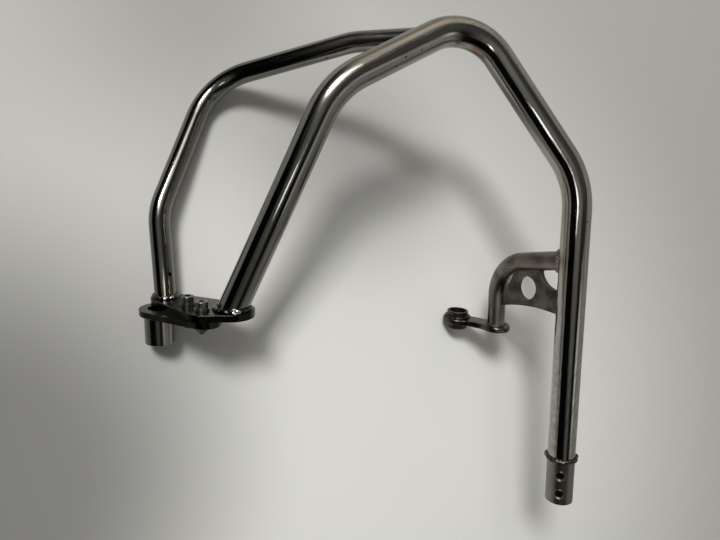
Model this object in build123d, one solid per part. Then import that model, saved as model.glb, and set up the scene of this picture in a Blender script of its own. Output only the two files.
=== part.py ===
from build123d import *
from math import cos, radians, sin
import os

# Crash bar for one side of a motorcycle, welded from bent stainless tube. Sizes are in millimetres and degrees.
# It is built in the machine's directions. The origin is the middle of the frame boss's seat. X runs from the boss
# towards the joining sleeve, Y points sideways, away from the engine, and Z is square to both.
# At the end the finished bar is laid down on the three points that it rests on.

# Tube stock
hoop_od = 25.0
hoop_wall = 1.5
brace_od = 18.0
brace_wall = 1.5
bracket_od = 18.0
bracket_wall = 1.5

# Spread from the frame boss to the hoop's last run, and how far other places lie inside that run
leg_spread = 339.5
crown_inset = 82.5
bracket_inset = 5.5
lug_eye_inset = 30.0

# Hoop: the corners where its straight runs would meet, and its bends. The last run is parallel to Y.
hoop_foot = (55.0, 40.0)
hoop_knee = (134.5, 214.0, 74.5)
hoop_crown = (leg_spread - crown_inset, 277.0, 86.5)
hoop_shoulder = (leg_spread, 139.5, 136.0)
hoop_bend_radii = (71.0, 44.5, 81.5)

# Joining sleeve on the hoop's open end, with tapped cross holes for its clamp screws
sleeve_end_y = -160.0
sleeve_length = 43.0
sleeve_bore = 18.0
clamp_hole_d = 6.8
clamp_hole_mouth_d = 8.6
clamp_hole_first = 10.5
clamp_hole_spacing = 18.0
clamp_hole_angle = 45.0
clamp_hole_count = 2

# Brace: corners and bends in the same way, from its foot to the hoop's crown
brace_foot = (7.2, -12.5)
brace_ankle = (6.0, 112.5, -20.0)
brace_belly = (61.5, 231.5, -57.0)
brace_neck = (173.0, 261.5, 25.5)
brace_tip = (242.0, 260.5, 84.0)
brace_bend_radii = (57.0, 55.0, 66.5)
drain_hole_d = 3.6
drain_hole_height = 20.5
drain_hole_angle = 31.0

# The frame bolts stand at this angle to the hoop's last run
bolt_tilt = 5.0

# Frame boss, a cup that takes the head of a frame bolt
boss_od = 24.6
boss_length = 25.5
boss_edge = 0.8
cup_bore = 18.0
cup_floor = 5.0
frame_bolt_hole = 10.5

# Lower plate, welded to the boss
lower_plate_t = 5.5
boss_eye_margin = 3.7
lower_plate_half_width = 13.0
lower_plate_end_radius = 13.0
lower_plate_overhang = 5.0
lower_plate_edge = 0.8

# Upper plate, welded to the feet of hoop and brace and screwed to the lower plate
upper_plate_t = 6.0
hoop_pad_margin = 6.0
brace_pad_margin = 3.5
screw_pad_radius = 14.0
upper_plate_edge = 0.8

# M6 fasteners through both plates
first_screw = (22.0, 18.0)
second_screw = (30.5, 37.0)
screw_d = 6.0
screw_length = 22.0
screw_hole = 6.6
head_d = 10.5
head_h = 6.0
head_edge = 0.7
socket_af = 5.0
socket_depth = 3.0
thread_clearance = 0.1
washer_od = 12.5
washer_t = 2.0
nut_af = 10.0
nut_h = 6.0
nut_chamfer = 0.7

# Bracket tube, from the hoop's last run to the rear lug
bracket_start_y = 69.5
bracket_corner = (leg_spread - bracket_inset, 56.5, 41.0)
bracket_foot = (leg_spread - bracket_inset, 41.5)
bracket_bend_radius = 40.0

# Rear lug and its bush, a second cup for a frame bolt
lug_y = -7.0
lug_t = 6.0
lug_eye = (leg_spread - lug_eye_inset, 5.5)
lug_eye_radius = 15.5
lug_disc_margin = 5.8
lug_waist = 21.0
lug_blend = 12.0
lug_edge = 1.6
bush_od = 22.6
bush_above = 7.0
bush_below = 6.0
bush_edge = 0.6

# Gusset in the corner of bracket and hoop, measured along and down from where their axes meet
gusset_t = 4.0
gusset_down_hoop = 54.5
gusset_down_drop = 60.5
gusset_hollow = 6.3
gusset_corner = 56.5
gusset_scallop = (16.0, 10.0)
gusset_scallop_radius = 20.0
gusset_hole = (52.0, 33.5)
gusset_hole_d = 23.0

# Weld beads, by the length of their legs
hoop_foot_bead = 3.0
brace_foot_bead = 3.0
sleeve_bead = 2.0
tube_bead = 2.5
gusset_bead = 1.3
lug_bead = 1.4
bush_bead = 2.8
boss_bead = 1.6

# How far a tube is drawn past the plate that it is cut off on, and how closely the resting points are found
cut_off = 25.0
contact_tolerance = 0.05
settling_rounds = 6

outward = Vector(0, cos(radians(bolt_tilt)), sin(radians(bolt_tilt)))
lower_plate_y = boss_length + lower_plate_t
upper_plate_y = lower_plate_y + upper_plate_t
hexagon_ratio = 1 / cos(radians(30))


def level(y):
    """Plane square to the frame bolts, at a distance y from the boss's seat and facing the machine."""
    return Plane(origin=outward * y, x_dir=(1, 0, 0), z_dir=-outward)


def drum(plane, place, length, diameter):
    """Round bar that stands on a place in a plane and runs towards the machine."""
    return extrude(plane * Pos(*place) * Circle(diameter / 2), length)


def hexagon(plane, place, length, across_flats):
    """Hexagonal bar, set in the same way."""
    return extrude(plane * Pos(*place) * RegularPolygon(across_flats / 2 * hexagon_ratio, 6), length)


def rod(path, diameter):
    """Solid round bar along a path."""
    return sweep(Plane(origin=path @ 0, z_dir=path % 0) * Circle(diameter / 2), path)


def standing_path(plane, foot, corners, radii):
    """Straight runs and tangent bends, from below a plane up through a foot on it and on through the corners."""
    start = plane.from_local_coords((*foot, 0))
    back = (start - Vector(*corners[0])).normalized()
    return FilletPolyline(start + back * cut_off, *corners, radius=radii)


def cut_flat(bar, plane, foot):
    """Bar with its foot cut off flat on a plane."""
    return bar - drum(plane, foot, 2 * cut_off, 4 * cut_off)


def foot_bead(bar, plane, foot, leg):
    """Round bead that lies on a plane along the rim of a bar's foot."""
    rim = bar.faces().sort_by_distance(plane.from_local_coords((*foot, 0)))[0].outer_wire()
    section = Circle(leg) & Pos(leg / 2, 0) * Rectangle(leg, 2 * leg)
    return sweep(Plane(origin=rim @ 0, x_dir=-plane.z_dir, z_dir=rim % 0) * section, rim) - bar


def lowest_point(piece, up):
    """Lowest point of a piece when up is the upward direction."""
    points, _ = piece.tessellate(contact_tolerance)
    return min(points, key=lambda point: point.dot(up))


# Hoop: one bent tube, cut flat on the upper plate and square at the sleeve.
upper_face = level(upper_plate_y)
leg_x, _, leg_z = hoop_shoulder
leg = (leg_x, leg_z)
hoop_end = Plane.XZ.offset(-sleeve_end_y - sleeve_length)
hoop_end_corner = hoop_end.from_local_coords((*leg, 0))
hoop_path = standing_path(
    upper_face, hoop_foot, [hoop_knee, hoop_crown, hoop_shoulder, hoop_end_corner], hoop_bend_radii
)
hoop_rod = cut_flat(rod(hoop_path, hoop_od), upper_face, hoop_foot)
hoop_tube = hoop_rod - rod(hoop_path, hoop_od - 2 * hoop_wall)

# Sleeve: a turned piece of thicker wall, butted on the hoop's end. Its clamp holes open through one wall.
sleeve_blank = drum(hoop_end, leg, sleeve_length, hoop_od)
end_sleeve = sleeve_blank - drum(hoop_end, leg, sleeve_length, sleeve_bore)
clamp_way = Vector(-sin(radians(clamp_hole_angle)), 0, cos(radians(clamp_hole_angle)))
mouth_depth = (clamp_hole_mouth_d - clamp_hole_d) / 2
for step in range(clamp_hole_count):
    hole_y = sleeve_end_y + clamp_hole_first + step * clamp_hole_spacing
    hole = Plane(origin=(leg_x, hole_y, leg_z), z_dir=clamp_way)
    end_sleeve -= hole * extrude(Circle(clamp_hole_d / 2), hoop_od)
    mouth = Cone(clamp_hole_d / 2, clamp_hole_mouth_d / 2, mouth_depth)
    end_sleeve -= hole * Pos(0, 0, (hoop_od - mouth_depth) / 2) * mouth

# Brace: one bent tube, cut flat on the upper plate and fish-mouthed around the hoop's crown.
brace_path = standing_path(
    upper_face, brace_foot, [brace_ankle, brace_belly, brace_neck, brace_tip], brace_bend_radii
)
brace_rod = cut_flat(rod(brace_path, brace_od), upper_face, brace_foot)
brace_tube = brace_rod - rod(brace_path, brace_od - 2 * brace_wall) - hoop_rod
drain_way = Vector(sin(radians(drain_hole_angle)), 0, cos(radians(drain_hole_angle)))
drain_from = brace_path @ 0 + (brace_path % 0) * (cut_off + drain_hole_height)
brace_tube -= Plane(origin=drain_from, z_dir=drain_way) * extrude(Circle(drain_hole_d / 2), brace_od)

# Upper plate: laser-cut, wrapped around both tube feet and both screws.
screws = [first_screw, second_screw]
hoop_pad = Pos(*hoop_foot) * Circle(hoop_od / 2 + hoop_pad_margin)
brace_pad = Pos(*brace_foot) * Circle(brace_od / 2 + brace_pad_margin)
screw_pads = [Pos(*place) * Circle(screw_pad_radius) for place in screws]
upper_outline = make_hull([pad.edge() for pad in (hoop_pad, brace_pad, *screw_pads)])
upper_blank = extrude(upper_face * upper_outline, upper_plate_t)
out_axis = Axis((0, 0, 0), outward)
upper_plate = fillet(upper_blank.faces().sort_by(out_axis)[-1].edges(), upper_plate_edge)

# Lower plate: an eye over the boss, then a bar under both screws with a round end.
lower_face = level(lower_plate_y)
screw_line = (Vector(*second_screw) - Vector(*first_screw)).normalized()
bar_end = Vector(*second_screw) + screw_line * lower_plate_overhang
seat = (0, 0)
eye = Pos(*seat) * Circle(boss_od / 2 + boss_eye_margin)
bar_middle = Pos(*first_screw) * Circle(lower_plate_half_width)
bar_tip = Pos(bar_end.X, bar_end.Y) * Circle(lower_plate_end_radius)
lower_outline = make_hull([pad.edge() for pad in (eye, bar_middle, bar_tip)])
lower_blank = extrude(lower_face * lower_outline, lower_plate_t)
lower_plate = fillet(lower_blank.faces().sort_by(out_axis)[0].edges(), lower_plate_edge)
lower_plate -= drum(lower_face, seat, lower_plate_t, cup_bore)
for place in screws:
    upper_plate -= drum(upper_face, place, upper_plate_t, screw_hole)
    lower_plate -= drum(lower_face, place, lower_plate_t, screw_hole)

# Frame boss: a turned cup under the eye.
boss_top = level(boss_length)
boss_blank = drum(boss_top, seat, boss_length, boss_od)
frame_boss = fillet(boss_blank.faces().sort_by(out_axis)[0].edges(), boss_edge)
frame_boss -= drum(boss_top, seat, boss_length - cup_floor, cup_bore)
frame_boss -= drum(boss_top, seat, boss_length, frame_bolt_hole)

# Socket cap screws on washers, with hexagon nuts under the lower plate.
head_seat = level(upper_plate_y + washer_t)
head_top = level(upper_plate_y + washer_t + head_h)
nut_seat = level(boss_length)
cap_screws = []
head_washers = []
hex_nuts = []
for place in screws:
    head = drum(head_top, place, head_h, head_d)
    head = fillet(head.faces().sort_by(out_axis)[-1].edges(), head_edge)
    head -= hexagon(head_top, place, socket_depth, socket_af)
    cap_screws.append(head + drum(head_seat, place, screw_length, screw_d))

    washer = drum(head_seat, place, washer_t, washer_od)
    head_washers.append(washer - drum(head_seat, place, washer_t, screw_hole))

    nut_blank = drum(nut_seat, place, nut_h, nut_af * hexagon_ratio)
    nut_blank = chamfer(nut_blank.edges().filter_by(GeomType.CIRCLE), nut_chamfer)
    nut = hexagon(nut_seat, place, nut_h, nut_af) & nut_blank
    hex_nuts.append(nut - drum(nut_seat, place, nut_h, screw_d + thread_clearance))

# Bracket: one bent tube, fish-mouthed on the hoop and standing on the lug.
lug_face = level(lug_y)
bracket_start = Vector(leg_x, bracket_start_y, leg_z)
bracket_path = standing_path(lug_face, bracket_foot, [bracket_corner, bracket_start], [bracket_bend_radius])
bracket_rod = cut_flat(rod(bracket_path, bracket_od), lug_face, bracket_foot)
bracket_tube = bracket_rod - rod(bracket_path, bracket_od - 2 * bracket_wall) - hoop_rod

# Gusset: flat plate across the corner, scalloped beside the hoop and pierced to save weight.
reach = Vector(*bracket_corner) - bracket_start
reach = Vector(reach.X, 0, reach.Z)
gusset_plane = Plane(origin=bracket_start, x_dir=reach, z_dir=reach.cross(Vector(0, 1, 0)))
low_hoop = Vector(0, -gusset_down_hoop)
low_drop = Vector(reach.length, -gusset_down_drop)
low_middle = (low_hoop + low_drop) / 2 + Vector(0, gusset_hollow)
gusset_rim = Polyline(low_hoop, (0, 0), (gusset_corner, 0), low_drop) + ThreePointArc(low_drop, low_middle, low_hoop)
gusset_outline = make_face(gusset_rim.edges())
gusset_outline -= Pos(gusset_scallop[0], -gusset_scallop[1]) * Circle(gusset_scallop_radius)
gusset_outline -= Pos(gusset_hole[0], -gusset_hole[1]) * Circle(gusset_hole_d / 2)
gusset_plate = extrude(gusset_plane * gusset_outline, gusset_t / 2, both=True) - hoop_rod - bracket_rod

# Rear lug: a waisted link between the bracket's foot and the bush.
lug_line = Vector(*lug_eye) - Vector(*bracket_foot)
lug_turn = Vector(1, 0).get_angle(lug_line) * (1 if lug_line.Y > 0 else -1)
lug_outline = Pos(lug_line.length / 2, 0) * Rectangle(lug_line.length, lug_waist)
lug_outline += Circle(bracket_od / 2 + lug_disc_margin)
lug_outline += Pos(lug_line.length, 0) * Circle(lug_eye_radius)
lug_outline = fillet(lug_outline.vertices(), lug_blend)
lug_blank = extrude(lug_face * Pos(*bracket_foot) * Rot(0, 0, lug_turn) * lug_outline, lug_t)
lug_faces = lug_blank.faces().sort_by(out_axis)
bracket_lug = fillet(lug_faces[0].edges() + lug_faces[-1].edges(), lug_edge)
bracket_lug -= drum(lug_face, lug_eye, lug_t, bush_od)

# Bush: a turned cup through the lug's eye.
bush_top = level(lug_y + bush_above)
bush_length = bush_above + lug_t + bush_below
bush_blank = drum(bush_top, lug_eye, bush_length, bush_od)
lug_bush = fillet(bush_blank.edges().filter_by(GeomType.CIRCLE), bush_edge)
lug_bush -= drum(bush_top, lug_eye, bush_length - cup_floor, cup_bore)
lug_bush -= drum(bush_top, lug_eye, bush_length, frame_bolt_hole)

# Welds around the feet, the bush, the boss and the sleeve, and in the corners where tubes and gusset meet.
hoop_foot_weld = foot_bead(hoop_rod, upper_face, hoop_foot, hoop_foot_bead)
brace_foot_weld = foot_bead(brace_rod, upper_face, brace_foot, brace_foot_bead)
lug_weld = foot_bead(bracket_rod, lug_face, bracket_foot, lug_bead)
bush_weld = lug_face * Pos(*lug_eye) * Torus(bush_od / 2, bush_bead) - bush_blank - lug_blank
boss_weld = boss_top * Pos(*seat) * Torus(boss_od / 2, boss_bead) - boss_blank - lower_blank
sleeve_weld = hoop_end * Pos(*leg) * Torus(hoop_od / 2, sleeve_bead) - hoop_rod - sleeve_blank
hoop_skin = rod(hoop_path, hoop_od + 2 * tube_bead)
brace_weld = (hoop_skin & rod(brace_path, brace_od + 2 * tube_bead)) - hoop_rod - brace_rod
bracket_weld = (hoop_skin & rod(bracket_path, bracket_od + 2 * tube_bead)) - hoop_rod - bracket_rod
gusset_skin = rod(hoop_path, hoop_od + 2 * gusset_bead) + rod(bracket_path, bracket_od + 2 * gusset_bead)
gusset_blank = extrude(gusset_plane * gusset_outline, gusset_t / 2 + gusset_bead, both=True)
gusset_weld = (gusset_blank & gusset_skin) - hoop_rod - bracket_rod - gusset_plate

pieces = {
    "hoop_tube": hoop_tube,
    "end_sleeve": end_sleeve,
    "brace_tube": brace_tube,
    "upper_plate": upper_plate,
    "lower_plate": lower_plate,
    "frame_boss": frame_boss,
    "cap_screws": Compound(children=cap_screws),
    "head_washers": Compound(children=head_washers),
    "hex_nuts": Compound(children=hex_nuts),
    "bracket_tube": bracket_tube,
    "gusset_plate": gusset_plate,
    "bracket_lug": bracket_lug,
    "lug_bush": lug_bush,
    "hoop_foot_weld": hoop_foot_weld,
    "brace_foot_weld": brace_foot_weld,
    "lug_weld": lug_weld,
    "bush_weld": bush_weld,
    "boss_weld": boss_weld,
    "sleeve_weld": sleeve_weld,
    "brace_weld": brace_weld,
    "bracket_weld": bracket_weld,
    "gusset_weld": gusset_weld,
}

# Off the machine the bar lies on the boss, the lug and the brace's belly. The plane through the lowest point of
# each becomes the ground, found again until it holds still, and the origin goes under the middle of the bar.
stands = [Compound([frame_boss, lower_plate, upper_plate]), Compound([bracket_lug, lug_bush]), brace_tube]
up = Vector(0, 0, 1)
for _ in range(settling_rounds):
    at_boss, at_lug, at_belly = (lowest_point(stand, up) for stand in stands)
    up = (at_lug - at_boss).cross(at_belly - at_boss).normalized()
ground = Plane(origin=at_boss, x_dir=Vector(1, 0, 0) - up * up.X, z_dir=up)
laid = {name: ground.to_local_coords(piece) for name, piece in pieces.items()}
box = Compound(list(laid.values())).bounding_box()
centring = Pos(-box.center().X, -box.center().Y, -box.min.Z)

os.makedirs("parts", exist_ok=True)
for name, piece in laid.items():
    export_step(centring * piece, f"parts/{name}.step")
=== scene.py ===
import math

import bpy
import numpy as np
from mathutils import Matrix, Vector, noise


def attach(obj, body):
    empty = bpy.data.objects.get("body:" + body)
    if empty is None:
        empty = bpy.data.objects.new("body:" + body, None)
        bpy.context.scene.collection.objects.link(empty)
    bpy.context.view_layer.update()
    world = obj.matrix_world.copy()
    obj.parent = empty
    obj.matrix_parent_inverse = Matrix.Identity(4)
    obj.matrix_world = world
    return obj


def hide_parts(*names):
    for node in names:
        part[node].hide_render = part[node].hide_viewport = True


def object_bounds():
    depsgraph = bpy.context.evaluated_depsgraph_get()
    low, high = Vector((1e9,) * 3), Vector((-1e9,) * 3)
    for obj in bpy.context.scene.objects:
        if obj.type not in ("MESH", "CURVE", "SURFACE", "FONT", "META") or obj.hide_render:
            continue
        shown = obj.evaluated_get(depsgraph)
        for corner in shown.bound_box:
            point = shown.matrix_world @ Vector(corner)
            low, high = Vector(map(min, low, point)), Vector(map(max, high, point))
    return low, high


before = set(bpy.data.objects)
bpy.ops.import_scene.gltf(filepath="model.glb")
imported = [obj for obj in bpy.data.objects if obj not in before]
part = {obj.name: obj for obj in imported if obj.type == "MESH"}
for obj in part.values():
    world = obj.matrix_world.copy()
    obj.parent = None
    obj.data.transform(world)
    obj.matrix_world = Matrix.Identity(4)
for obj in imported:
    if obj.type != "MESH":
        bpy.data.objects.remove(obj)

cad_box = [list(corner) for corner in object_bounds()]


# Hoop: the thick stainless tube, bent three times and polished by hand along its length.
# It stands on the upper plate with a weld, and its long leg ends in the joining sleeve.
class Tone:
    """A value, vector or colour on a surface. Arithmetic on values adds the maths nodes that work it out."""

    def __init__(self, tree, socket=None):
        self.tree = tree
        self.socket = socket

    def node(self, kind, settings, inputs, output=0):
        made = self.tree.nodes.new(kind)
        for name, value in settings.items():
            setattr(made, name, value)
        for name, value in inputs.items():
            if isinstance(value, Tone):
                self.tree.links.new(value.socket, made.inputs[name])
            else:
                made.inputs[name].default_value = value
        return Tone(self.tree, made.outputs[output])

    def math(self, operation, first, second):
        return self.node("ShaderNodeMath", {"operation": operation}, {0: first, 1: second})

    def vector(self, operation, inputs, output=0):
        return self.node("ShaderNodeVectorMath", {"operation": operation}, inputs, output)

    def __add__(self, other):
        return self.math("ADD", self, other)

    def __radd__(self, other):
        return self.math("ADD", other, self)

    def __sub__(self, other):
        return self.math("SUBTRACT", self, other)

    def __rsub__(self, other):
        return self.math("SUBTRACT", other, self)

    def __mul__(self, other):
        return self.math("MULTIPLY", self, other)

    def __rmul__(self, other):
        return self.math("MULTIPLY", other, self)

    def rise(self, low, high):
        """0 below low, 1 above high, and a smooth climb between them."""
        return self.node(
            "ShaderNodeMapRange", {"interpolation_type": "SMOOTHSTEP"},
            {"Value": self, "From Min": low, "From Max": high}, "Result",
        )

    def blend(self, low, high):
        """The first colour where this value is 0 and the second where it is 1."""
        return self.node(
            "ShaderNodeMix", {"data_type": "RGBA"}, {"Factor": self, "A": low, "B": high}, "Result"
        )

    def cloud(self, scale, detail=3.0):
        """Soft noise on these coordinates."""
        return self.node("ShaderNodeTexNoise", {}, {"Vector": self, "Scale": scale, "Detail": detail})

    def along(self, way):
        """How far these coordinates lie along a direction."""
        return self.vector("DOT_PRODUCT", {0: self, 1: way}, "Value")

    def drawn_out(self, way, stretch):
        """These coordinates squeezed in a direction, so that a pattern on them is drawn out that way."""
        shift = self.vector("SCALE", {0: way, "Scale": self.along(way) * (1 - 1 / stretch)})
        return self.vector("SUBTRACT", {0: self, 1: shift})

    def distance(self, point):
        """How far these coordinates lie from a point."""
        return self.vector("DISTANCE", {0: self, 1: point}, "Value")

    def near(self, point, reach):
        """1 at a point, fading to 0 at a distance from it."""
        return 1 - self.distance(point).rise(0.0, reach)

    def relief(self, depth):
        """Surface normals that this value raises by up to a depth in metres."""
        return self.node("ShaderNodeBump", {}, {"Strength": 1.0, "Distance": depth, "Height": self}, "Normal")


def surface(name):
    """A new metal finish: its material, its shader and the coordinates to paint it by."""
    finish = bpy.data.materials.new(name)
    finish.use_nodes = True
    shader = finish.node_tree.nodes["Principled BSDF"]
    shader.inputs["Metallic"].default_value = 1.0
    place = Tone(finish.node_tree).node("ShaderNodeTexCoord", {}, {}, "Object")
    return finish, shader, place


def feed(shader, **tones):
    """Links values to a shader's sockets by name."""
    for name, tone in tones.items():
        tone.tree.links.new(tone.socket, shader.inputs[name.replace("_", " ")])


def dress(finish, *names):
    """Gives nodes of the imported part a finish."""
    for name in names:
        for slot in part[name].material_slots:
            slot.material = finish


def tube_lines(place, corners, bend, fineness):
    """Lines along a bent tube. Each straight run has its own, and they pass into the next across a bend."""
    corners = [Vector(corner) for corner in corners]
    ways = [(end - start).normalized() for start, end in zip(corners, corners[1:])]
    lines = None
    reached = 1.0
    for number, way in enumerate(ways):
        grain = place.drawn_out(way, 60.0).cloud(fineness, 4.0)
        if number == 0:
            lines = grain
            continue
        square = (ways[number - 1] + way).normalized()
        middle = corners[number].dot(square)
        reached = place.along(square).rise(middle - bend, middle + bend) * reached
        lines = lines + reached * (grain - lines)
    return lines


def polished(name, corners, bend, tints, nicks, darker_end, brushed):
    """Polish on a tube: lines along it, a light haze, small pits and nicks, and heat tints near its welds.
    It is darker around one end, given as a place and two distances between which it lightens to its full tone,
    and softer at the brushed places."""
    finish, shader, place = surface(name)
    lines = tube_lines(place, corners, bend, fineness=420.0)
    scratches = tube_lines(place, corners, bend, fineness=1500.0).rise(0.6, 0.72)
    haze = place.cloud(22.0)
    waves = place.cloud(38.0, 1.0)
    pits = place.cloud(430.0, 1.0).rise(0.75, 0.79)
    for point, reach in nicks:
        pits = pits + place.near(point, reach)
    streaks = lines.rise(0.3, 0.7)
    shade = 0.4 * haze + 0.6 * streaks
    steel = shade.blend((0.20, 0.192, 0.172, 1), (0.44, 0.425, 0.395, 1))
    # Darker towards the given end, shading into the full tone further away.
    darker_steel = shade.blend((0.11, 0.106, 0.096, 1), (0.25, 0.244, 0.228, 1))
    point, start, stop = darker_end
    clear = place.distance(point).rise(start, stop)
    steel = clear.blend(darker_steel, steel)
    for point, reach, colour in tints:
        steel = (place.near(point, reach) * (0.35 + haze)).blend(steel, colour)
    rough = 0.04 + 0.05 * haze + 0.07 * (1 - streaks) + 0.14 * scratches + 0.25 * pits
    for point, reach in brushed:
        rough = rough + 0.10 * place.near(point, reach)
    feed(
        shader,
        Base_Color=pits.rise(0.1, 0.6).blend(steel, (0.05, 0.042, 0.034, 1)),
        Roughness=rough,
        Normal=(lines + 5.0 * waves - 0.3 * pits + 0.15 * scratches).relief(0.00005),
    )
    return finish


hoop_corners = [
    (-0.1141, -0.0124, 0.0636), (-0.0341, 0.1581, 0.1305), (0.0886, 0.2174, 0.1542), (0.1712, 0.0727, 0.1742),
    (0.1709, -0.1785, 0.1221),
]
straw = (0.19, 0.13, 0.085, 1)
rust = (0.17, 0.08, 0.05, 1)
hoop_finish = polished(
    "polished_hoop", hoop_corners, bend=0.03,
    tints=[((0.087, 0.188, 0.1595), 0.012, rust), ((0.159, 0.005, 0.155), 0.014, straw)],
    nicks=[
        ((0.0142, 0.1710, 0.1474), 0.0013), ((0.0219, 0.1775, 0.1513), 0.0014), ((0.0361, 0.1837, 0.1536), 0.0012),
        ((0.1713, 0.0360, 0.1794), 0.0016),
    ],
    darker_end=(hoop_corners[0], 0.13, 0.26),
    brushed=[(hoop_corners[1], 0.10), ((0.05, 0.2, 0.147), 0.09)],
)
dress(hoop_finish, "hoop_tube")


# Joining sleeve: a turned collar of thicker wall, left as it came from the lathe and drilled for two clamp screws.
# It is butted on the hoop's end and welded all round, with a lumpy hand-laid bead.
def turned(name, way, dark, light, rough):
    """Lathe finish: fine rings around an axis, with handling marks across them."""
    finish, shader, place = surface(name)
    rings = place.node("ShaderNodeTexNoise", {"noise_dimensions": "1D"}, {"W": place.along(way), "Scale": 1600.0})
    marks = place.cloud(60.0, 5.0)
    feed(
        shader,
        Base_Color=(0.5 * rings + 0.5 * marks).blend(dark, light),
        Roughness=rough + 0.12 * marks + 0.08 * rings,
        Normal=rings.relief(0.00004),
    )
    return finish


leg_way = Vector((0.0014, 0.9792, 0.203))
sleeve_finish = turned(
    "turned_sleeve", leg_way, dark=(0.09, 0.082, 0.07, 1), light=(0.30, 0.281, 0.256, 1), rough=0.26
)
dress(sleeve_finish, "end_sleeve")


def weld_run(node, finish, pitch, ripple, lump, line=None, spots=()):
    """Weld in place of a node's plain bead. A fine copy of the bead is raised in ripples along its length, or along
    a given line, with uneven lumps. Spots are places with a reach and a height of their own."""
    grain_size = 0.0003
    sectors = 72
    sway_scale = 180.0
    rough_scale = 420.0
    bpy.ops.object.select_all(action="DESELECT")
    piece = bpy.data.objects.new(node + "_run", part[node].data.copy())
    bpy.context.collection.objects.link(piece)
    bpy.context.view_layer.objects.active = piece
    piece.select_set(True)
    bpy.ops.object.mode_set(mode="EDIT")
    bpy.ops.mesh.select_all(action="SELECT")
    bpy.ops.mesh.remove_doubles(threshold=1e-6)
    bpy.ops.mesh.normals_make_consistent(inside=False)
    bpy.ops.object.mode_set(mode="OBJECT")
    fine = piece.modifiers.new("fine", "REMESH")
    fine.mode = "VOXEL"
    fine.voxel_size = grain_size
    bpy.ops.object.modifier_apply(modifier="fine")

    count = len(piece.data.vertices)
    points = np.empty(count * 3, np.float32)
    piece.data.vertices.foreach_get("co", points)
    points = points.reshape(-1, 3).astype(float)
    outwards = np.array([vertex.normal for vertex in piece.data.vertices])
    if line is None:
        middle = points.mean(axis=0)
        _, axes = np.linalg.eigh(np.cov((points - middle).T))
        flat = (points - middle) @ axes
        turn = (np.arctan2(flat[:, 1], flat[:, 2]) + math.pi) / (2 * math.pi)
        sector = np.minimum((turn * sectors).astype(int), sectors - 1)
        filled = np.bincount(sector, minlength=sectors)
        centres = np.stack([np.bincount(sector, points[:, k], sectors) for k in range(3)], axis=1)
        centres = centres / np.maximum(filled, 1)[:, None]
        steps = np.linalg.norm(np.roll(centres, -1, axis=0) - centres, axis=1)
        length = np.concatenate([[0.0], np.cumsum(steps)])
        beat = round(length[-1] / pitch)
        run = np.interp(turn * sectors, np.arange(sectors + 1), length) / length[-1] * beat
        across = np.linalg.norm(points - centres[sector], axis=1) / pitch
    else:
        run = points @ np.array(line) / pitch
        across = np.zeros(count)
    sway = np.array([noise.noise(Vector(point) * sway_scale) for point in points])
    rough = np.array([noise.noise(Vector(point) * rough_scale) for point in points])
    crest = np.abs(np.sin(math.pi * (run + 0.35 * sway - 0.25 * across ** 2)))
    height = ripple * (crest - 0.4) + lump * (sway + 0.5 * rough)
    for point, reach, lift in spots:
        away = np.linalg.norm(points - np.array(point), axis=1) / reach
        height += lift * np.clip(1 - away ** 2, 0, 1) ** 2
    points = np.clip(points + outwards * height[:, None], *cad_box)
    piece.data.vertices.foreach_set("co", points.astype(np.float32).ravel())
    piece.data.attributes.new("crest", "FLOAT", "POINT").data.foreach_set("value", crest.astype(np.float32))
    bpy.ops.object.shade_smooth()
    piece.data.materials.clear()
    piece.data.materials.append(finish)
    piece.data.update()
    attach(piece, "root")
    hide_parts(node)
    return piece


def weld_metal(name, soot, dull, bright, rough, painted_glints=()):
    """Bare weld metal: bright on the ripples' crests and sooty between them. Painted glints are painted highlights.
    """
    finish, shader, place = surface(name)
    crest = place.node("ShaderNodeAttribute", {"attribute_name": "crest"}, {}, "Fac")
    stain = place.cloud(130.0, 4.0)
    clean = crest.rise(0.1, 0.9) * 0.6 + stain.rise(0.35, 0.65) * 0.4
    metal = stain.rise(0.62, 0.72).blend(clean.blend(dull, bright), soot)
    roughness = rough + 0.2 * stain - 0.08 * crest
    # Painted highlight: brighter, smoother metal at the painted glints.
    if painted_glints:
        painted_shine = sum(place.near(point, reach) for point, reach in painted_glints).rise(0.1, 0.6)
        metal = painted_shine.blend(metal, (0.5, 0.485, 0.455, 1))
        roughness = roughness * (1 - 0.6 * painted_shine)
    feed(shader, Base_Color=metal, Roughness=roughness)
    return finish


sooty = (0.05, 0.04, 0.032, 1)
grey_weld = weld_metal(
    "grey_weld", soot=sooty, dull=(0.07, 0.06, 0.05, 1), bright=(0.26, 0.245, 0.225, 1), rough=0.22
)
sleeve_weld = weld_metal(
    "sleeve_weld", soot=sooty, dull=(0.03, 0.027, 0.023, 1), bright=(0.11, 0.103, 0.092, 1), rough=0.34
)
weld_run(
    "sleeve_weld", sleeve_weld, pitch=0.0060, ripple=0.00015, lump=0.0009,
    spots=[
        ((0.1613, -0.1748, 0.1142), 0.005, 0.0020), ((0.1832, -0.1796, 0.1276), 0.004, 0.0014),
        ((0.1634, -0.1830, 0.1308), 0.0045, 0.0010),
    ],
)


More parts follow.
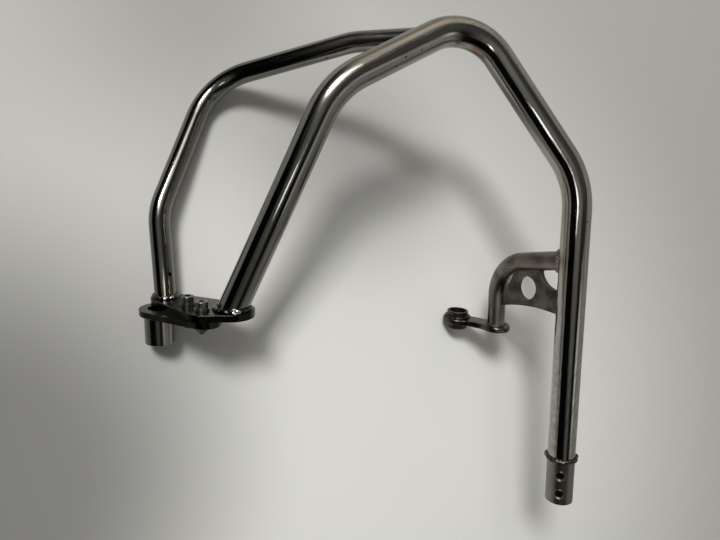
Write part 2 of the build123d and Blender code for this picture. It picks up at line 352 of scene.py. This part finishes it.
# Clamp holes of the sleeve: each has a burr around its mouth, raised by the drill and the tap and worn bright.
# A short black set screw with a hexagon socket sits a little below each mouth.
burr_finish = turned(
    "worn_burr", leg_way, dark=(0.08, 0.075, 0.067, 1), light=(0.22, 0.21, 0.197, 1), rough=0.22
)
set_screw_finish = turned(
    "black_set_screw", leg_way, dark=(0.018, 0.017, 0.016, 1), light=(0.05, 0.048, 0.045, 1), rough=0.3
)
hole_way = Vector((-0.7023, -0.1435, 0.6973))
hole_mouths = [(0.1620, -0.2121, 0.1243), (0.1621, -0.1945, 0.1279)]
sleeve_radius = 0.0125
burr_radius = 0.00455
burr_height = 0.0007
burr_unevenness = 0.35
screw_radius = 0.00395
screw_length = 0.0022
screw_depth = 0.0022
screw_rim = 0.0004
socket_radius = 0.0023
socket_length = 0.0030
socket_lift = 0.0018
for number, mouth in enumerate(hole_mouths, 1):
    bpy.ops.object.select_all(action="DESELECT")
    bpy.ops.mesh.primitive_torus_add(
        major_segments=72, minor_segments=16, major_radius=burr_radius, minor_radius=burr_height, align="WORLD"
    )
    burr = bpy.context.object
    burr.name = f"clamp_hole_burr_{number}"
    side = leg_way.cross(hole_way).normalized()
    for vertex in burr.data.vertices:
        over, up, out = vertex.co
        drop = sleeve_radius - math.sqrt(sleeve_radius ** 2 - over ** 2)
        uneven = 1 + burr_unevenness * noise.noise(Vector((over, up, 0.0)) * 300.0)
        vertex.co = Vector(mouth) + side * over + leg_way * up + hole_way * (out * uneven - drop)
    bpy.ops.object.shade_smooth()
    burr.data.materials.append(burr_finish)
    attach(burr, "root")

    inwards = hole_way.to_track_quat("Z", "Y").to_matrix()
    middle = Vector(mouth) - hole_way * screw_depth
    bpy.ops.object.select_all(action="DESELECT")
    bpy.ops.mesh.primitive_cylinder_add(vertices=6, radius=socket_radius, depth=socket_length)
    socket = bpy.context.object
    for vertex in socket.data.vertices:
        vertex.co = middle + inwards @ (vertex.co + Vector((0, 0, socket_lift)))
    bpy.ops.object.select_all(action="DESELECT")
    bpy.ops.mesh.primitive_cylinder_add(vertices=48, radius=screw_radius, depth=screw_length)
    screw = bpy.context.object
    screw.name = f"clamp_set_screw_{number}"
    for vertex in screw.data.vertices:
        vertex.co = middle + inwards @ vertex.co
    rim = screw.modifiers.new("rim", "BEVEL")
    rim.width = screw_rim
    rim.segments = 3
    bpy.ops.object.modifier_apply(modifier="rim")
    cut = screw.modifiers.new("cut", "BOOLEAN")
    cut.operation = "DIFFERENCE"
    cut.object = socket
    bpy.ops.object.modifier_apply(modifier="cut")
    bpy.data.objects.remove(socket)
    bpy.ops.object.shade_smooth_by_angle(angle=math.radians(35))
    screw.data.materials.append(set_screw_finish)
    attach(screw, "root")


# Brace: the slimmer stainless tube, bent three times and polished like the hoop.
# Its foot is welded to the upper plate, and its fish-mouthed tip to the hoop's crown.
brace_corners = [
    (-0.1622, 0.0027, 0.0137), (-0.1634, 0.0779, 0.0183), (-0.1080, 0.2019, 0.0058), (0.0041, 0.2146, 0.0919),
    (0.0735, 0.2017, 0.1485),
]
brace_finish = polished(
    "polished_brace", brace_corners, bend=0.02,
    tints=[((-0.162, 0.003, 0.014), 0.018, straw)],
    nicks=[((-0.0164, 0.2036, 0.0790), 0.0018)],
    darker_end=(brace_corners[0], 0.20, 0.34),
    brushed=[(brace_corners[3], 0.09)],
)
dress(brace_finish, "brace_tube")
brace_run = weld_run("brace_weld", grey_weld, pitch=0.0026, ripple=0.0004, lump=0.0003)
inner_corner = Vector((0.0655, 0.1915, 0.1445))
corner_reach = 0.018
corner_lift = 0.0055
for vertex in brace_run.data.vertices:
    away = (vertex.co - inner_corner).length / corner_reach
    vertex.co.y += corner_lift * max(0.0, 1 - away ** 2) ** 2


# Upper plate: laser-cut from thick plate, its rim ground round by hand and its face left dull.
# Hoop and brace are welded to it, and two screws hold it to the lower plate.
def ground_plate(name, way, dark, light, rough, tints):
    """Ground plate: grain in one direction, dull patches, and brown heat tints beside its welds."""
    finish, shader, place = surface(name)
    grain = place.drawn_out(way, 30.0).cloud(900.0, 3.0)
    patch = place.cloud(70.0, 4.0)
    steel = (0.3 * grain + 0.7 * patch.rise(0.3, 0.7)).blend(dark, light)
    for point, reach, colour in tints:
        steel = (place.near(point, reach) * (0.3 + patch)).blend(steel, colour)
    feed(
        shader,
        Base_Color=steel,
        Roughness=rough + 0.2 * patch + 0.06 * grain,
        Normal=(0.5 * grain + patch).relief(0.00008),
    )
    return finish


plate_way = Vector((0.673, -0.213, 0.709))
upper_finish = ground_plate(
    "ground_upper_plate", plate_way, dark=(0.008, 0.0077, 0.0072, 1), light=(0.034, 0.0329, 0.0302, 1), rough=0.09,
    tints=[((-0.114, -0.012, 0.064), 0.022, (0.05, 0.038, 0.028, 1))],
)
dress(upper_finish, "upper_plate")
# Painted highlights at three lumps of the foot welds; the lumps themselves are raised in the beads below.
foot_weld = weld_metal(
    "foot_weld", soot=(0.02, 0.018, 0.015, 1), dull=(0.018, 0.017, 0.015, 1), bright=(0.075, 0.072, 0.066, 1),
    rough=0.12,
    painted_glints=[
        ((-0.1145, -0.0162, 0.0785), 0.0065), ((-0.1637, 0.0013, 0.0252), 0.0035),
        ((-0.1578, 0.0016, 0.0244), 0.0025),
    ],
)
weld_run(
    "hoop_foot_weld", foot_weld, pitch=0.0050, ripple=0.00015, lump=0.0004,
    spots=[
        ((-0.1145, -0.0160, 0.0783), 0.006, 0.0014), ((-0.1148, -0.0158, 0.0790), 0.0016, -0.0018),
        ((-0.1294, -0.0129, 0.0689), 0.003, 0.0008),
    ],
)
weld_run(
    "brace_foot_weld", foot_weld, pitch=0.0040, ripple=0.0002, lump=0.0004,
    spots=[((-0.1637, 0.0013, 0.0252), 0.004, 0.0008), ((-0.1578, 0.0016, 0.0244), 0.003, 0.0007)],
)


# Lower plate: a laser-cut eye and bar under the upper plate, dull like it.
# The frame boss is welded into its eye from below.
lower_finish = ground_plate(
    "ground_lower_plate", plate_way, dark=(0.011, 0.0105, 0.0096, 1), light=(0.056, 0.0543, 0.05, 1), rough=0.08,
    tints=[((-0.1694, -0.0119, 0.0224), 0.02, (0.08, 0.062, 0.046, 1))],
)
dress(lower_finish, "lower_plate")


# Frame boss: a turned and polished cup that takes the head of a frame bolt.
# A fine weld runs around it under the lower plate.
bolt_way = Vector((0.002, 0.9578, 0.2876))
boss_finish = turned(
    "turned_boss", bolt_way, dark=(0.17, 0.16, 0.145, 1), light=(0.31, 0.295, 0.275, 1), rough=0.04
)
dress(boss_finish, "frame_boss")
weld_run("boss_weld", grey_weld, pitch=0.0024, ripple=0.0004, lump=0.0003)


# Fasteners: two stainless socket cap screws on plain washers, with hexagon nuts below.
# They clamp the two plates and have handling marks, with painted shade in their hexagon sockets.
fasteners, shader, place = surface("fastener_steel")
marks = place.cloud(260.0, 4.0)
socket_reach = 0.0045
# Painted shade: the hexagon sockets are painted near black and made rougher.
painted_socket_shade = place.near((-0.1472, -0.0002, 0.0445), socket_reach) + place.near((-0.1386, -0.0058, 0.0626), socket_reach)
painted_socket_shade = painted_socket_shade.rise(0.22, 0.34)
steel = marks.blend((0.11, 0.105, 0.097, 1), (0.32, 0.312, 0.298, 1))
feed(
    shader,
    Base_Color=painted_socket_shade.blend(steel, (0.012, 0.011, 0.010, 1)),
    Roughness=0.24 + 0.16 * marks + 0.3 * painted_socket_shade,
)
dress(fasteners, "cap_screws", "head_washers", "hex_nuts")


# Rear bracket: a bent tube with a brownish mill finish and a painted highlight along the front of its lower run.
# It is fish-mouthed on the hoop's long leg, welded there, and stands on the lug.
bracket_corners = [(0.1649, -0.0550, 0.0505), (0.1649, 0.0107, 0.0644), (0.1711, 0.0041, 0.1600)]
bracket_finish, shader, place = surface("mill_finish")
lines = tube_lines(place, bracket_corners, bend=0.02, fineness=420.0)
patch = place.cloud(55.0, 5.0)
tone = 0.4 * lines.rise(0.3, 0.7) + 0.6 * patch.rise(0.3, 0.7)
steel = tone.blend((0.06, 0.0505, 0.04, 1), (0.24, 0.216, 0.185, 1))
# Painted highlight: a light, streaky stripe along the front of the lower run.
across = place.along((0.771, -0.131, 0.621)) - 0.16573
front = place.along((-0.635, -0.159, 0.755)).rise(-0.0578, -0.0528)
drop = 1 - place.along((0, 1, 0)).rise(-0.026, -0.006)
painted_stripe = (1 - (across * across).rise(0.0, 0.000022)) * front * drop * (0.5 + 0.6 * lines)
steel = painted_stripe.blend(steel, (0.5, 0.455, 0.395, 1))
steel = place.near((0.1661, -0.0380, 0.0632), 0.002).blend(steel, rust)
heat = place.near((0.166, 0.006, 0.15), 0.014) * (0.2 + 0.6 * patch)
feed(
    shader,
    Base_Color=heat.blend(steel, (0.12, 0.075, 0.05, 1)),
    Roughness=0.22 + 0.12 * patch + 0.06 * lines,
    Normal=(lines + patch).relief(0.00004),
)
dress(bracket_finish, "bracket_tube")
weld_run("bracket_weld", grey_weld, pitch=0.0026, ripple=0.0005, lump=0.0004)


# Gusset: flat plate across the bracket's corner, scalloped and pierced, with dull rolled faces.
# Short dark welds hold it to both tubes, on both sides.
reach_way = Vector((0.065, -0.07, 0.995))
gusset_finish = ground_plate(
    "rolled_gusset", reach_way, dark=(0.02, 0.0186, 0.0159, 1), light=(0.135, 0.128, 0.1115, 1), rough=0.24, tints=[]
)
dress(gusset_finish, "gusset_plate")
dark_weld = weld_metal(
    "dark_weld", soot=sooty, dull=(0.05, 0.043, 0.035, 1), bright=(0.16, 0.145, 0.125, 1), rough=0.28
)
weld_run(
    "gusset_weld", dark_weld, pitch=0.0022, ripple=0.0003, lump=0.0002, line=leg_way + reach_way.normalized()
)


# Rear lug: a waisted link with rounded rims, dark and scaly from the forge, with a painted highlight on its near
# rim.
# It is welded under the bracket's foot and carries the bush in its eye.
lug_finish, shader, place = surface("forged_lug")
scale = place.cloud(90.0, 5.0)
pitted = place.cloud(500.0, 2.0)
# Painted highlight: a bright patch on the near rim of the lug's round foot.
painted_rim_glint = place.near((0.1606, -0.0585, 0.0622), 0.011) * scale.rise(0.3, 0.55)
scaly = scale.rise(0.3, 0.7).blend((0.025, 0.022, 0.018, 1), (0.11, 0.103, 0.092, 1))
feed(
    shader,
    Base_Color=painted_rim_glint.blend(scaly, (0.38, 0.365, 0.34, 1)),
    Roughness=0.18 + 0.24 * scale,
    Normal=(scale + 0.3 * pitted).relief(0.0004),
)
dress(lug_finish, "bracket_lug")
weld_run("lug_weld", dark_weld, pitch=0.0022, ripple=0.0003, lump=0.0003)


# Lug bush: a turned cup through the lug's eye, the second seat for a frame bolt, darkened like the lug.
# A full bead runs around it on top of the lug.
bush_finish = turned(
    "turned_bush", bolt_way, dark=(0.026, 0.0235, 0.0195, 1), light=(0.095, 0.089, 0.079, 1), rough=0.34
)
dress(bush_finish, "lug_bush")
bush_weld = weld_metal(
    "bush_weld", soot=sooty, dull=(0.018, 0.016, 0.0133, 1), bright=(0.06, 0.056, 0.049, 1), rough=0.38
)
weld_run("bush_weld", bush_weld, pitch=0.0050, ripple=0.0001, lump=0.0005)


# Table that the bar lies on: a smooth, matt, off-white top.
# It is palest in front of the bar, with a painted falloff to the sides and painted shadows under the arch and at the
# left.
bpy.ops.object.select_all(action="DESELECT")
bpy.ops.mesh.primitive_circle_add(vertices=96, radius=6.0, fill_type="NGON")
table = bpy.context.object
table.name = "table"
finish, shader, place = surface("table_top")
shader.inputs["Metallic"].default_value = 0.0
shader.inputs["Roughness"].default_value = 0.55
shader.inputs["Specular IOR Level"].default_value = 0.25
# Painted light falloff from the pale spot, and painted shadows at the near left, under the arch and on the far left.
painted_falloff = place.distance((0.07, -0.19, 0.0)).rise(0.05, 0.65)
corner = 1 - place.distance((-0.33, -0.14, 0.0)).rise(0.08, 0.3)
painted_shade = 0.64 * corner + 0.4 * place.near((0.04, 0.125, 0.0), 0.17) + 0.25 * place.near((-0.12, 0.27, 0.0), 0.2)
pale = painted_falloff.blend((0.80, 0.80, 0.785, 1), (0.46, 0.457, 0.443, 1))
feed(shader, Base_Color=painted_shade.blend(pale, (0.0, 0.0, 0.0, 1)))
table.data.materials.append(finish)


# Light: a window high on the far left, and a small lamp over the table that the polish mirrors as a stripe.
# Around them is a plain room: pale walls on the right and at the far side, a dim ceiling on the left, and dark on
# the near left, with a brighter strip and a glow around the window.
window_data = bpy.data.lights.new("window", "AREA")
window_data.shape = "RECTANGLE"
window_data.size = 0.8
window_data.size_y = 0.95
window_data.energy = 106.0
window_data.color = (1.0, 0.99, 0.97)
window = bpy.data.objects.new("window", window_data)
bpy.context.collection.objects.link(window)
window.location = (-1.50, 1.78, 3.00)
window.rotation_euler = (Vector((0, 0, 0.05)) - window.location).to_track_quat("-Z", "Y").to_euler()

lamp_data = bpy.data.lights.new("lamp", "AREA")
lamp_data.shape = "RECTANGLE"
lamp_data.size = 0.09
lamp_data.size_y = 0.14
lamp_data.energy = 0.18
lamp = bpy.data.objects.new("lamp", lamp_data)
bpy.context.collection.objects.link(lamp)
lamp.location = (-0.32, -0.10, 0.79)
lamp.rotation_euler = (Vector((0.17, 0.06, 0.17)) - lamp.location).to_track_quat("-Z", "Y").to_euler()
lamp.visible_camera = False

room = bpy.data.worlds.new("room")
bpy.context.scene.world = room
room.use_nodes = True
sky = Tone(room.node_tree).node("ShaderNodeTexCoord", {}, {}, "Object")
right_side = sky.along((1.0, 0.35, 0.0)).rise(-0.15, 0.35)
far = sky.along((0, 1, 0)).rise(0.45, 0.9)
height = sky.along((0, 0, 1))
wall = right_side * (1 - height.rise(0.70, 0.84))
wall_light = wall * (0.36 + far * (0.07 + 0.76 * height))
top = 0.08 * height.rise(0.75, 0.9) * sky.along((0, 1, 0)).rise(-0.45, -0.1)
ceiling = 0.2 * height.rise(0.62, 0.82) * (1 - sky.along((1, 0, 0)).rise(-0.3, 0.1))
strip = 0.7 * sky.along((0.43, -0.45, 0.78)).rise(0.98, 0.995)
halo = 1.3 * sky.along((-0.27, 0.45, 0.85)).rise(0.945, 0.985)
sill = 2.5 * sky.along((-0.15, 0.55, 0.82)).rise(0.985, 0.996)
level = wall_light + top + ceiling + strip + halo + sill + 0.003
tint = far.blend((1.0, 1.0, 0.93, 1), (1.0, 0.9, 0.76, 1))
glow = sky.vector("SCALE", {0: tint, "Scale": level})
room.node_tree.links.new(glow.socket, room.node_tree.nodes["Background"].inputs["Color"])


# Camera: where the photograph was taken from, above and to the left of the bar.
# Its lens and its place come from fitting the bar's outline to the picture.
lens_data = bpy.data.cameras.new("camera")
lens_data.sensor_width = 36.0
lens_data.lens = 27.05
lens_data.clip_start = 0.01
camera = bpy.data.objects.new("camera", lens_data)
bpy.context.collection.objects.link(camera)
right = (0.908826, -0.083844, 0.408665)
up = (0.064067, 0.996026, 0.061873)
back = (-0.412228, -0.03005, 0.910585)
stand = (-0.20168, -0.00281, 0.52114)
camera.matrix_world = Matrix([[*row, start] for *row, start in zip(right, up, back, stand)] + [[0, 0, 0, 1]])
bpy.context.scene.camera = camera
bpy.context.scene.view_settings.view_transform = "Standard"
